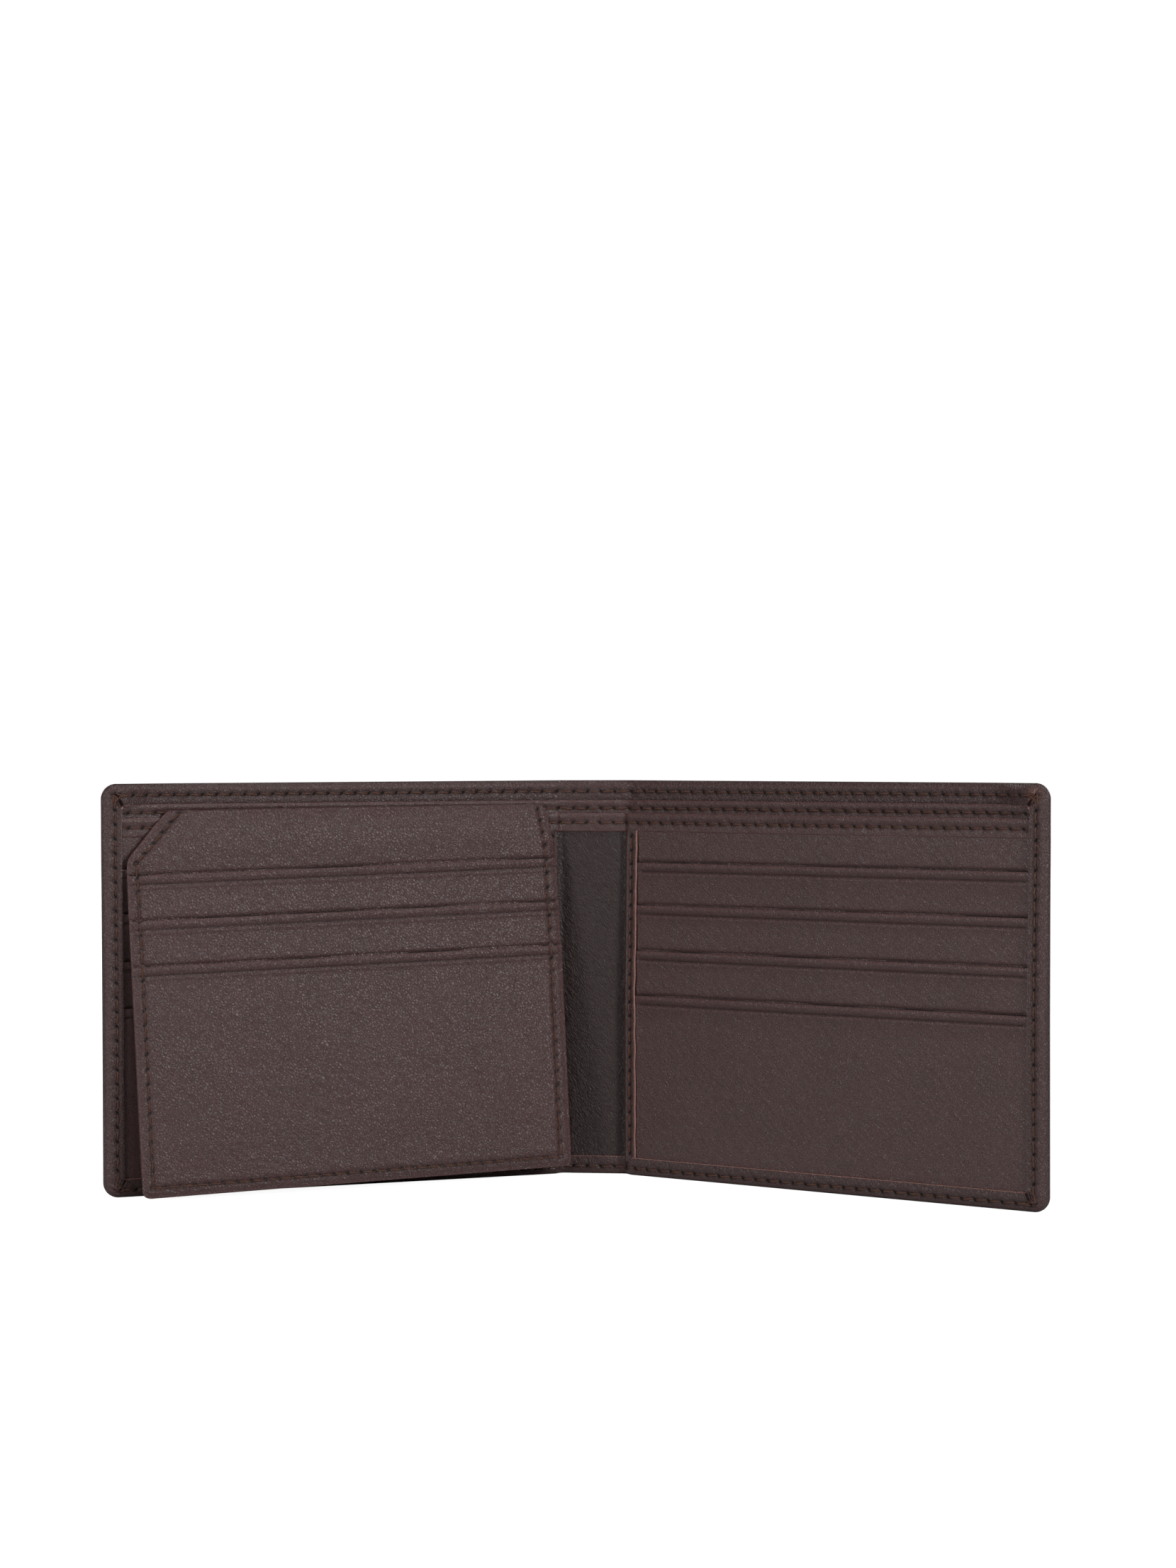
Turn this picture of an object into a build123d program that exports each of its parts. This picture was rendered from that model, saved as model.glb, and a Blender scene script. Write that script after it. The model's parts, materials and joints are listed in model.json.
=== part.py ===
from build123d import *
import math
import os

# A bifold leather wallet standing half open on its lower edge. All sizes are in millimetres.
#
# Every piece of a half is drawn in that half's own frame, which has its origin on the fold at
# floor level: x runs from the fold to the outer edge, y runs from the front of the inner liner
# to the back, and z is up. The right half is drawn, and the left half is its mirror image.

# ---- Driving dimensions ----
HEIGHT = 92.0                  # lower edge to upper edge
PANEL_WIDTH = 108.2            # fold line to outer edge
SPINE_WIDTH = 14.8             # from one fold line to the other
REST_FOLD = 26.7               # degrees that each half stands forward of the flat-open pose
CORNER_RADIUS = 4.5            # outer corners of the cover
FOLD_CLEARANCE = 0.15          # each piece stops this far from its fold line
FRONT_CLEARANCE = 0.9          # a half's pieces in front of the liner clear the spine when it closes

# Leather, board and cloth, from the inner liner to the back
LINER_T = 0.4
FRONT_BILL_GAP = 0.9
DIVIDER_T = 0.6
BACK_BILL_GAP = 0.4
MARGIN_T = 0.35                # the cover's upper edge, pared thin and turned down inside
LINING_T = 0.15
STIFFENER_T = 0.25
STIFFENER_INSET = 2.0          # the board stops short of the cover's edges
COVER_T = 0.75

# Card section, in front of the inner liner
BACKING_T = 0.3
SLOT_T = 0.3                   # one slot layer, leather above and cloth below
SLOT_TOPS = (72.9, 63.0, 52.4, 42.0)
SLOT_OVERLAP = 5.0             # how far a slot's leather reaches behind the next slot
CARD_TOP = 80.0                # upper edge of the card section, below the liner's turned edge
LINER_TOP = 84.4
DIVIDER_TOP = 87.4
COVER_MARGIN_BOTTOM = 84.0     # lower end of the cover's turned-down upper edge

# Turned edges
EDGE_T = 0.5                   # the cover's leather where it is turned over the layers
RIM_T = 0.9                    # the same leather where it passes round the layers' ends
SIDE_EDGE_WIDTH = 4.4
BOTTOM_EDGE_HEIGHT = 4.2
STRIP_T = 0.4                  # narrow leather strip that binds the card section by the fold
STRIP_START = FRONT_CLEARANCE
STRIP_END = 4.0

# Seams: the thread lies on the leather as a low ridge
THREAD_T = 0.25
THREAD_WIDTH = 0.5
TOP_SEAM = 89.7
DIVIDER_SEAM = 85.4
LINER_SEAM = 82.1
SIDE_SEAM = 105.2
BOTTOM_SEAM = 1.8
STRIP_SEAM = 2.3
SEAM_END_GAP = 3.0             # seams stop this far from a corner

# Card flap, hinged on the left half along its upper edge
FLAP_WIDTH = 98.0
FLAP_HEIGHT = 84.2             # hinge line to lower edge, at the middle
FLAP_CENTRE = 54.45            # middle of the flap on the hinge line, from the fold
FLAP_CHAMFER = 9.3             # upper outer corner
FLAP_LEAN = 1.4                # degrees that the flap hangs askew in its own plane
FLAP_SWING = 6.0               # degrees that it stands out from the half at rest
FLAP_TRIM = 1.4                # the flat layers start this far below the hinge line
FLAP_SPARE = 6.0               # the layers are drawn this far above it before that trim
FLAP_OFFSET = 0.4              # hinge line to the flap's back
FLAP_BACK_T = 0.6
FLAP_SLOTS = (13.1, 23.2, 33.4)
FLAP_SEAM = 2.4                # seam to the flap's edge
HINGE_Y = -0.6
HINGE_Z = 85.6
ROLL_RADIUS = 0.9              # rolled leather that the flap turns on
TAIL_BOTTOM = 66.0             # the flap's tail is sewn in behind the liner down to here
TAIL_T = 0.45
TAIL_GAP = 0.2                 # between the tail and the liner in front of it

# ---- Depths of the layers, worked out from the thicknesses ----
DIVIDER_Y = LINER_T + FRONT_BILL_GAP
MARGIN_Y = DIVIDER_Y + DIVIDER_T + BACK_BILL_GAP
LINING_Y = MARGIN_Y + MARGIN_T
STIFFENER_Y = LINING_Y + LINING_T
COVER_Y = STIFFENER_Y + STIFFENER_T
BACK_Y = COVER_Y + COVER_T
SLOT_YS = tuple(-BACKING_T - SLOT_T * count for count in range(1, len(SLOT_TOPS) + 1))
CARD_Y = SLOT_YS[-1]
EDGE_START = PANEL_WIDTH - SIDE_EDGE_WIDTH
RIM_START = PANEL_WIDTH - RIM_T

# Front of the layers at each height of a half, as (top of the step, depth of its front)
CARD_STEPS = tuple(zip(reversed(SLOT_TOPS), reversed(SLOT_YS))) + ((CARD_TOP, -BACKING_T),)
SIDE_STEPS = CARD_STEPS + ((LINER_TOP, -LINER_T), (DIVIDER_TOP, DIVIDER_Y), (HEIGHT, MARGIN_Y))

pieces = {}


def block(x0, x1, y0, y1, z0, z1):
    """A box between two corners."""
    return Pos(x0, y0, z0) * Box(x1 - x0, y1 - y0, z1 - z0, align=(Align.MIN,) * 3)


def outline(inset, y0, y1):
    """The half's outline, drawn in by the inset, with its two outer corners rounded."""
    sheet = block(FOLD_CLEARANCE, PANEL_WIDTH - inset, y0, y1, inset, HEIGHT - inset)
    corners = sheet.edges().filter_by(Axis.Y).sort_by(Axis.X)[-2:]
    return fillet(corners, CORNER_RADIUS - inset)


def steps(levels, start=0.0):
    """Each level as (lower end, upper end, depth of the layers' front)."""
    lower = start
    for upper, front in levels:
        yield lower, upper, front
        lower = upper


def layer(x0, x1, y0, y1, z0, z1):
    """A flat layer that lies inside the cover's rim, so the rim rounds its corners too."""
    return block(x0, x1, y0, y1, z0, z1) & outline(RIM_T, y0, y1)


def ridge(x0, x1, front, height):
    """A level seam: thread lying on leather whose front is at this depth."""
    half = THREAD_WIDTH / 2
    return block(x0, x1, front - THREAD_T, front, height - half, height + half)


# ---- Pieces of one half ----

def cover_edge_side():
    """The cover's leather turned in over the outer ends of all the layers."""
    ring = outline(0, CARD_Y, COVER_Y) - outline(RIM_T, CARD_Y, COVER_Y)
    full = outline(0, CARD_Y - EDGE_T, COVER_Y)
    edge = None
    for z0, z1, front in steps(SIDE_STEPS):
        rim = ring & block(EDGE_START, PANEL_WIDTH, front, COVER_Y, z0, z1)
        turned = full & block(EDGE_START, PANEL_WIDTH, front - EDGE_T, front, z0, z1)
        edge = rim + turned if edge is None else edge + rim + turned
    return edge


def cover_edge_bottom():
    """The cover's leather turned up under and in front of the card section."""
    under = block(FOLD_CLEARANCE, EDGE_START, 0, COVER_Y, 0, RIM_T)
    below_cards = block(FRONT_CLEARANCE, EDGE_START, CARD_Y, 0, 0, RIM_T)
    front = block(FRONT_CLEARANCE, EDGE_START, CARD_Y - EDGE_T, CARD_Y, 0, BOTTOM_EDGE_HEIGHT)
    return under + below_cards + front


def cover_edge_top():
    """The cover's upper edge, turned over the lining and down inside the bill pocket."""
    over = block(FOLD_CLEARANCE, EDGE_START, MARGIN_Y, COVER_Y, HEIGHT - RIM_T, HEIGHT)
    inside = layer(FOLD_CLEARANCE, RIM_START, MARGIN_Y, LINING_Y, COVER_MARGIN_BOTTOM, HEIGHT - RIM_T)
    return over + inside


def inner_liner():
    """Inner liner with its upper edge turned down in front."""
    sheet = layer(FOLD_CLEARANCE, RIM_START, 0, LINER_T, RIM_T, LINER_TOP)
    turned = layer(FRONT_CLEARANCE, RIM_START, -LINER_T, 0, CARD_TOP, LINER_TOP)
    return sheet + turned


def slot_leather(number):
    """The leather of a card slot, from its mouth to just behind the next slot."""
    y = SLOT_YS[number]
    bottom = RIM_T
    if number + 1 < len(SLOT_TOPS):
        bottom = SLOT_TOPS[number + 1] - SLOT_OVERLAP
    return layer(STRIP_START + STRIP_T, RIM_START, y, y + SLOT_T, bottom, SLOT_TOPS[number])


def slot_linings():
    """Cloth that carries each upper slot's pocket down to the lower edge."""
    cloths = []
    for number, y in enumerate(SLOT_YS[:-1]):
        top = SLOT_TOPS[number + 1] - SLOT_OVERLAP
        cloths.append(layer(STRIP_START + STRIP_T, RIM_START, y, y + SLOT_T, RIM_T, top))
    return Compound(cloths)


def inner_strip():
    """Leather strip that binds the card section's end beside the fold."""
    strip = None
    for z0, z1, front in steps(CARD_STEPS, start=RIM_T):
        low = BOTTOM_EDGE_HEIGHT if front == CARD_Y else z0
        turned = block(STRIP_START, STRIP_END, front - STRIP_T, front, low, z1)
        wrap = block(STRIP_START, STRIP_START + STRIP_T, front, 0, z0, z1)
        strip = turned + wrap if strip is None else strip + turned + wrap
    return strip


def side_thread():
    """Seam down the turned outer edge, one run on each step of the layers."""
    half = THREAD_WIDTH / 2
    runs = []
    for z0, z1, front in steps(SIDE_STEPS):
        face = front - EDGE_T
        low = max(z0, BOTTOM_EDGE_HEIGHT)
        high = min(z1, HEIGHT - CORNER_RADIUS)
        if high > low:
            runs.append(block(SIDE_SEAM - half, SIDE_SEAM + half, face - THREAD_T, face, low, high))
    return Compound(runs)


def strip_thread():
    """Seam down the strip beside the fold, one run on each step of the layers."""
    half = THREAD_WIDTH / 2
    runs = []
    for z0, z1, front in steps(CARD_STEPS, start=BOTTOM_EDGE_HEIGHT):
        face = front - STRIP_T
        runs.append(block(STRIP_SEAM - half, STRIP_SEAM + half, face - THREAD_T, face, z0, z1))
    return Compound(runs)


def half_pieces():
    """All the pieces that both halves have, in the half's own frame."""
    seam_start = SEAM_END_GAP
    seam_end = EDGE_START - THREAD_WIDTH
    half = {
        "cover": outline(0, COVER_Y, BACK_Y),
        "cover_edge_side": cover_edge_side(),
        "cover_edge_bottom": cover_edge_bottom(),
        "cover_edge_top": cover_edge_top(),
        "cover_stiffener": layer(STIFFENER_INSET, PANEL_WIDTH - STIFFENER_INSET, STIFFENER_Y, COVER_Y,
                                 STIFFENER_INSET, HEIGHT - STIFFENER_INSET),
        "cover_lining": layer(FOLD_CLEARANCE, RIM_START, LINING_Y, STIFFENER_Y, RIM_T, HEIGHT - RIM_T),
        "bill_divider": layer(FOLD_CLEARANCE, RIM_START, DIVIDER_Y, DIVIDER_Y + DIVIDER_T,
                              RIM_T, DIVIDER_TOP),
        "inner_liner": inner_liner(),
        "card_backing": layer(STRIP_START + STRIP_T, RIM_START, -BACKING_T, 0, RIM_T, CARD_TOP),
        "slot_linings": slot_linings(),
        "inner_strip": inner_strip(),
        "top_thread": ridge(seam_start, seam_end, MARGIN_Y, TOP_SEAM),
        "divider_thread": ridge(seam_start, seam_end, DIVIDER_Y, DIVIDER_SEAM),
        "liner_thread": ridge(seam_start, seam_end, -LINER_T, LINER_SEAM),
        "bottom_thread": ridge(seam_start, seam_end, CARD_Y - EDGE_T, BOTTOM_SEAM),
        "side_thread": side_thread(),
        "strip_thread": strip_thread(),
    }
    for number in range(len(SLOT_TOPS)):
        half["card_slot_" + str(number + 1)] = slot_leather(number)
    return half


# ---- Pieces of the spine, drawn with x = 0 at its middle ----

def spine_pieces():
    """The narrow middle that the two halves fold from."""
    x1 = SPINE_WIDTH / 2 - FOLD_CLEARANCE
    x0 = -x1
    edge_bottom = (block(x0, x1, 0, COVER_Y, 0, RIM_T)
                   + block(x0, x1, -EDGE_T, 0, 0, BOTTOM_EDGE_HEIGHT))
    edge_top = (block(x0, x1, MARGIN_Y, COVER_Y, HEIGHT - RIM_T, HEIGHT)
                + block(x0, x1, MARGIN_Y, LINING_Y, COVER_MARGIN_BOTTOM, HEIGHT - RIM_T))
    liner = (block(x0, x1, 0, LINER_T, RIM_T, LINER_TOP)
             + block(x0, x1, -LINER_T, 0, CARD_TOP, LINER_TOP))
    threads = [
        ridge(x0, x1, MARGIN_Y, TOP_SEAM),
        ridge(x0, x1, DIVIDER_Y, DIVIDER_SEAM),
        ridge(x0, x1, -LINER_T, LINER_SEAM),
        ridge(x0, x1, -EDGE_T, BOTTOM_SEAM),
    ]
    return {
        "spine_cover": block(x0, x1, COVER_Y, BACK_Y, 0, HEIGHT),
        "spine_cover_edge_bottom": edge_bottom,
        "spine_cover_edge_top": edge_top,
        "spine_lining": block(x0, x1, LINING_Y, COVER_Y, RIM_T, HEIGHT - RIM_T),
        "spine_divider": block(x0, x1, DIVIDER_Y, DIVIDER_Y + DIVIDER_T, RIM_T, DIVIDER_TOP),
        "spine_liner": liner,
        "spine_threads": Compound(threads),
    }


# ---- Pieces of the card flap, drawn hanging from the hinge line ----

def slab(d0, d1, lower, upper):
    """All that lies between two distances in front of the hinge line and two drops below it."""
    return block(-FLAP_WIDTH, FLAP_WIDTH, -d1, -d0, -lower, -upper)


def flap_outline(inset, d0, d1):
    """The flap's outline between two distances in front of the hinge line.

    It runs up past the hinge line, and is trimmed there later.
    """
    side = FLAP_WIDTH / 2 - inset
    bottom = -FLAP_HEIGHT + inset
    corner = FLAP_CHAMFER + inset * (math.sqrt(2) - 1)
    with BuildPart() as flap:
        with BuildSketch(Plane.XZ):
            with BuildLine():
                Polyline(
                    (-side, FLAP_SPARE),
                    (side - corner - FLAP_SPARE, FLAP_SPARE),
                    (side, -corner),
                    (side, bottom),
                    (-side, bottom),
                    close=True,
                )
            make_face()
        extrude(amount=d1)
    return flap.part & slab(d0, d1, -bottom, -FLAP_SPARE)


def hang(shape):
    """Lean a flap piece, trim its top level, swing it out and put it on the hinge line."""
    leaned = Rot(0, FLAP_LEAN, 0) * shape
    trimmed = leaned & slab(0, FLAP_WIDTH, FLAP_WIDTH, FLAP_TRIM)
    return Pos(FLAP_CENTRE, HINGE_Y, HINGE_Z) * Rot(-FLAP_SWING, 0, 0) * trimmed


def flap_pieces():
    """The card flap's own layers: back, face, two slot strips and the front pocket."""
    front = FLAP_OFFSET + FLAP_BACK_T
    flap = {"flap_back": hang(flap_outline(0, FLAP_OFFSET, front))}
    tops = (-FLAP_SPARE,) + FLAP_SLOTS
    names = ("flap_face", "flap_slot_1", "flap_slot_2", "flap_pocket")
    cloths = []
    threads = []
    for number, name in enumerate(names):
        back = front
        front = back + SLOT_T
        seam_front = front + THREAD_T
        seen_to = (tops + (FLAP_HEIGHT,))[number + 1]
        leather_to = min(seen_to + SLOT_OVERLAP, FLAP_HEIGHT)
        sheet = flap_outline(0, back, front)
        flap[name] = hang(sheet & slab(back, front, leather_to, tops[number]))
        if leather_to < FLAP_HEIGHT:
            cloths.append(hang(sheet & slab(back, front, FLAP_HEIGHT, leather_to)))
        outer = flap_outline(FLAP_SEAM - THREAD_WIDTH / 2, front, seam_front)
        inner = flap_outline(FLAP_SEAM + THREAD_WIDTH / 2, front, seam_front)
        run = (outer - inner) & slab(front, seam_front, seen_to, tops[number])
        threads += hang(run).solids()
    flap["flap_slot_linings"] = Compound(cloths)
    flap["flap_thread"] = Compound(threads)
    return flap


def flap_tail():
    """Rolled leather along the hinge line, and the tail that is sewn in behind the liner."""
    x0 = FLAP_CENTRE - FLAP_WIDTH / 2
    x1 = FLAP_CENTRE + FLAP_WIDTH / 2 - FLAP_CHAMFER
    tail_y = LINER_T + TAIL_GAP
    top = HINGE_Z + TAIL_T
    roll = Pos((x0 + x1) / 2, HINGE_Y, HINGE_Z) * Rot(0, 90, 0) * Cylinder(ROLL_RADIUS, x1 - x0)
    bridge = block(x0, x1, HINGE_Y, tail_y + TAIL_T, HINGE_Z, top)
    return roll + bridge + block(x0, x1, tail_y, tail_y + TAIL_T, TAIL_BOTTOM, top)


# ---- Assembly ----

to_right = Pos(SPINE_WIDTH / 2, 0, 0) * Rot(0, 0, -REST_FOLD)

pieces.update(spine_pieces())
for name, shape in half_pieces().items():
    placed = to_right * shape
    pieces["right_" + name] = placed
    pieces["left_" + name] = mirror(placed, Plane.YZ)
for name, shape in flap_pieces().items():
    pieces[name] = mirror(to_right * shape, Plane.YZ)
pieces["flap_tail"] = mirror(to_right * flap_tail(), Plane.YZ)

# The origin is the middle of the bounding box's base
box = Compound(list(pieces.values())).bounding_box()
to_origin = Pos(-box.center().X, -box.center().Y, -box.min.Z)

os.makedirs("parts", exist_ok=True)
for name, shape in pieces.items():
    export_step(to_origin * shape, "parts/" + name + ".step")

turn = math.radians(REST_FOLD)
hinge_reach = FLAP_CENTRE * math.cos(turn) + HINGE_Y * math.sin(turn)
hinge_depth = -FLAP_CENTRE * math.sin(turn) + HINGE_Y * math.cos(turn)
shift_x, shift_y, shift_z = to_origin.position.X, to_origin.position.Y, to_origin.position.Z
print("size", round(box.size.X, 2), round(box.size.Y, 2), round(box.size.Z, 2))
print("fold lines at x = +-", SPINE_WIDTH / 2, "and y =", round(shift_y, 3), "shift x", round(shift_x, 4))
print("flap hinge at", round(-SPINE_WIDTH / 2 - hinge_reach + shift_x, 3),
      round(hinge_depth + shift_y, 3), round(HINGE_Z + shift_z, 3))
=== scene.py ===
import json
import math

import bmesh
import bpy
import numpy as np
from mathutils import Matrix, Vector


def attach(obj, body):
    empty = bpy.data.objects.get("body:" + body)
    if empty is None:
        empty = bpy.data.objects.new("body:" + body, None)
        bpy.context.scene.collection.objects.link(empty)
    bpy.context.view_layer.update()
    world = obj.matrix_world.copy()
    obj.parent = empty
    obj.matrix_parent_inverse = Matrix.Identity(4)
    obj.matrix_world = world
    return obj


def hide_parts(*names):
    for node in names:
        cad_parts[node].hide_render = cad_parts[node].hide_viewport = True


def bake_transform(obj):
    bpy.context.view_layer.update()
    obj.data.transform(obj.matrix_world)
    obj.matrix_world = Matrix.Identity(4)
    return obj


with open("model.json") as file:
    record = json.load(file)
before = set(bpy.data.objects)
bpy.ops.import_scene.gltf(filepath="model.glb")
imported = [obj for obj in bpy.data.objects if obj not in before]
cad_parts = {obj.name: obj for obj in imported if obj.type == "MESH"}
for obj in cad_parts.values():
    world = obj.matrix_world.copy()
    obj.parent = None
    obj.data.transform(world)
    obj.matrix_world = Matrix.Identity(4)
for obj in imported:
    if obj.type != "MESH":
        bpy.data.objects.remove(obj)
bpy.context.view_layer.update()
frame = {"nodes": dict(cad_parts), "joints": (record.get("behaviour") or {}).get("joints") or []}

# A bifold wallet in thin dark leather. Each half is drawn flat, in millimetres: u runs from the
# fold to the outer edge, w from the front of the inner liner to the back, and z is up. place()
# then closes the layers up at the edges, bends the leather round the fold and gives metres in
# the row frame. The left half is the right half's mirror image.

MM = 0.001
SIDES = ("right", "left")

# ---- Measures from the frame ----
joints = {joint["name"]: joint for joint in frame["joints"]}
FOLD_X = joints["right_fold"]["pos_m"][0] / MM
FOLD_Y = joints["right_fold"]["pos_m"][1] / MM
REST = math.atan2(-joints["flap_lift"]["axis"][1], -joints["flap_lift"]["axis"][0])


def flat_point(x, y):
    """A place on the right half, from the row frame to the half's own (u, w)."""
    x = x - FOLD_X
    y = y - FOLD_Y
    return x * math.cos(REST) - y * math.sin(REST), x * math.sin(REST) + y * math.cos(REST)


def extent(node):
    """Lowest and highest (u, w, z) of a CAD node of the right half, in millimetres."""
    corners = np.array([vertex.co for vertex in frame["nodes"]["right_" + node].data.vertices]) / MM
    u, w = flat_point(corners[:, 0], corners[:, 1])
    flat = np.stack([u, w, corners[:, 2]], axis=1)
    return flat.min(axis=0), flat.max(axis=0)


def middle(node, axis):
    """Middle of a CAD node of the right half along one of its (u, w, z)."""
    low, high = extent(node)
    return (low[axis] + high[axis]) / 2


WIDTH, BACK, HEIGHT = extent("cover")[1]
MARGIN = extent("cover_edge_top")[0][1]
LINING = extent("cover_lining")[0][1]
DIVIDER = extent("bill_divider")[0][1]
DIVIDER_T = extent("bill_divider")[1][1] - DIVIDER
DIVIDER_TOP = extent("bill_divider")[1][2]
LINER_T = extent("inner_liner")[1][1]
LINER_TOP = extent("inner_liner")[1][2]
CARD_TOP = extent("card_backing")[1][2]
BACKING_T = -extent("card_backing")[0][1]
SLOT_NODES = ("card_slot_1", "card_slot_2", "card_slot_3", "card_slot_4")
SLOTS = [extent(node) for node in SLOT_NODES]
SLOT_TOPS = [high[2] for low, high in SLOTS]
SLOT_FRONTS = [low[1] for low, high in SLOTS]
SLOT_BOTTOMS = [low[2] for low, high in SLOTS]
SLOT_T = SLOT_FRONTS[0] - SLOT_FRONTS[1]
SLOT_START, LAYER_END = SLOTS[0][0][0], SLOTS[0][1][0]
HEM_SIDE = WIDTH - extent("cover_edge_side")[0][0]
HEM_FRONT = extent("cover_edge_bottom")[0][1]
HEM_T = SLOT_FRONTS[3] - HEM_FRONT
HEM_BOTTOM = extent("cover_edge_bottom")[1][2]
STRIP_START, STRIP_END = extent("inner_strip")[0][0], extent("inner_strip")[1][0]
SIDE_SEAM = middle("side_thread", 0)
STRIP_SEAM = middle("strip_thread", 0)
TOP_SEAM_DROP = 0.35           # the leather rolls over the edge, so this seam lies lower than in the CAD
TOP_SEAM = middle("top_thread", 2) - TOP_SEAM_DROP
BOTTOM_SEAM = middle("bottom_thread", 2)
DIVIDER_SEAM = middle("divider_thread", 2)
LINER_SEAM = middle("liner_thread", 2)

hinge = joints["flap_lift"]["pos_m"]
HINGE_U, HINGE_W = flat_point(-hinge[0] / MM, hinge[1] / MM)
HINGE_Z = hinge[2] / MM

# ---- Softness that the CAD layers leave out ----
CORNER_RADIUS = 3.4            # outer corners of the cover
HEM_TOP = 5.0                  # what shows of the cover's upper margin above the divider
RIM = 1.3                      # width of the rounded outer rim
PINCH = 0.66                   # share of their depth that the layers lose at the sewn edges
SIDE_REACH = 17.0              # how far from the outer edge that starts
FOOT_REACH = 22.0              # how far above the lower edge that starts
CORNER_FRONT = -0.7            # front of the hem at the upper corners
RISE_START, RISE_END = 95.0, 105.5   # the upper margin leaves the side seam between these
BEND = 2.6                     # half the width of the bend at each fold
COVER_T = 0.45
FRAYED = 0.6                   # how worn the upper right corner's fold is
EDGE_SOFTNESS = 0.3            # radius of a turned leather edge

# ---- Seams ----
PITCH = 3.2                    # stitch length
GROOVE = 0.09                  # the thread pulls the leather in this much
HOLE_DEPTH = 0.2
HOLE_LENGTH, HOLE_WIDTH = 0.58, 0.3
HOLE_SLANT = math.radians(35)
DIMPLE, DIMPLE_SIZE = 0.07, 0.8     # softer dip round each hole
PUFF = 0.12                    # swelling beside a seam
THREAD_RADIUS = 0.2
THREAD_STEPS, THREAD_SIDES = 9, 8    # rings along a stitch, and points round each
THREAD_IN, THREAD_OUT = 0.34, 0.36   # how far inside its two holes a stitch shows
THREAD_SUNK, THREAD_RISE = 0.28, 0.36    # its ends' depth, and how much higher its middle is
STITCH_SLANT = 0.16            # how far a stitch turns off the seam's line

# ---- Flap ----
FLAP_WIDTH = 98.0
FLAP_REACH_TOP, FLAP_REACH_LOW = 2.6, 1.3    # what the folded leather adds at the fold side
FLAP_TAPER = 1.3               # how much narrower its top is there
FLAP_SHOULDER = 10.0           # how far down the taper reaches
FLAP_HEIGHT = 84.2             # hinge line to lower edge, at the middle
FLAP_CHAMFER = 9.3
FLAP_LEAN = math.radians(1.4)  # it hangs a little askew
FLAP_SWING = math.radians(6.0)
FLAP_SEAM = 2.25
FLAP_MOUTHS = (13.1, 23.2, 33.4)
FLAP_BACK, FLAP_FACE = 0.4, 1.0      # distances in front of the hinge line
FLAP_LAYER = 0.3
FLAP_OVERLAP = 5.0
FLAP_CORNER = 1.8
FLAP_STEPS = (0.35, 0.45, 0.55)  # how far each layer stands out beyond the face at the fold side
FLAP_PRESS, PRESS_REACH = 0.35, 3.2    # sewing presses its edges by this, this far in
TAIL_LENGTH = 19.6
BEYOND = 300.0                 # an x that no seam of the flap comes near


# ---- Small tools ----

def smooth(x):
    """0 below 0, 1 above 1, and a soft step between."""
    x = np.clip(x, 0, 1)
    return x * x * (3 - 2 * x)


def hump(x, width):
    """A bell of height 1 about 0."""
    return np.exp(-(x / width) ** 2)


def together(*parts):
    """Rows or grids of coordinates, as points."""
    return np.stack(np.broadcast_arrays(*parts), axis=-1)


def ripple(a, b, size, seed):
    """Smooth random swell, about -1 to 1, with bumps of this size."""
    random = np.random.default_rng(seed)
    total = 0
    for _ in range(7):
        angle = random.uniform(0, math.tau)
        pace = math.tau / size * random.uniform(0.6, 1.5)
        start = random.uniform(0, math.tau)
        total = total + np.sin(pace * (a * math.cos(angle) + b * math.sin(angle)) + start)
    return total / 3.5


def pinch(u, z):
    """0 in the middle of a half, 1 where the layers are sewn together at its edges."""
    side = smooth((u - WIDTH + SIDE_REACH) / SIDE_REACH)
    foot = smooth((FOOT_REACH - z) / FOOT_REACH)
    return 1 - (1 - side) * (1 - foot)


def settle(u, w, z):
    """Depth of a point behind the liner, once the edges are sewn flat."""
    return np.where(w > 0, w * (1 - PINCH * pinch(u, z)), w)


def opened(side, u, w, z, turn):
    """Points of a half that is turned this far about its fold, in the row frame, in metres."""
    x = FOLD_X + u * np.cos(turn) + w * np.sin(turn)
    y = FOLD_Y - u * np.sin(turn) + w * np.cos(turn)
    return together(-x if side == "left" else x, y, z) * MM


def bend(side, u, w, z):
    """Points of a half, round the fold and into the row frame."""
    return opened(side, u, w, z, REST * smooth((u + BEND) / (2 * BEND)))


def across(side, u):
    """u as seen from the front, so that the grain leans the same way on both halves."""
    return -u if side == "left" else u


def place(side, u, w, z):
    """Points of a half, from flat millimetres to metres in the row frame."""
    return bend(side, u, settle(u, w, z), z)


# ---- Grid lines, seams and reliefs ----
EDGE_LINES = (0.0, 0.07, 0.2, 0.42, 0.75, 1.3)
SEAM_LINES = (0.0, 0.2, 0.45, 0.8, 1.3, 2.0, 2.8)
HOLE_LINES = (0.0, 0.25, 0.55, 1.05)
CREASE_LINES = (0.0, 0.18, 0.38, 0.62, 0.95, 1.4)
NEAREST = 0.06                 # grid lines come no closer than this
FAR = 99.0                     # further than any distance on a wallet


def lines(start, end, step, holes=(), seams=(), edges=(), creases=()):
    """Grid lines from start to end, closer together at holes, seams, edges and creases."""
    wanted = [(start, 0.0), (end, NEAREST)]
    groups = ((holes, HOLE_LINES), (seams, SEAM_LINES), (edges, EDGE_LINES), (creases, CREASE_LINES))
    for places, offsets in groups:
        for offset in offsets:
            for spot in places:
                wanted += [(spot + offset, NEAREST), (spot - offset, NEAREST)]
    wanted += [(value, 0.4 * step) for value in np.arange(start + step / 2, end, step)]
    kept = []
    for value, gap in wanted:
        if start <= value <= end and all(abs(value - other) >= gap for other in kept):
            kept.append(value)
    return np.array(sorted(kept))


def run(start, end):
    """Where the holes of a straight seam are, along it."""
    return np.linspace(start, end, round((end - start) / PITCH) + 1)


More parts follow.
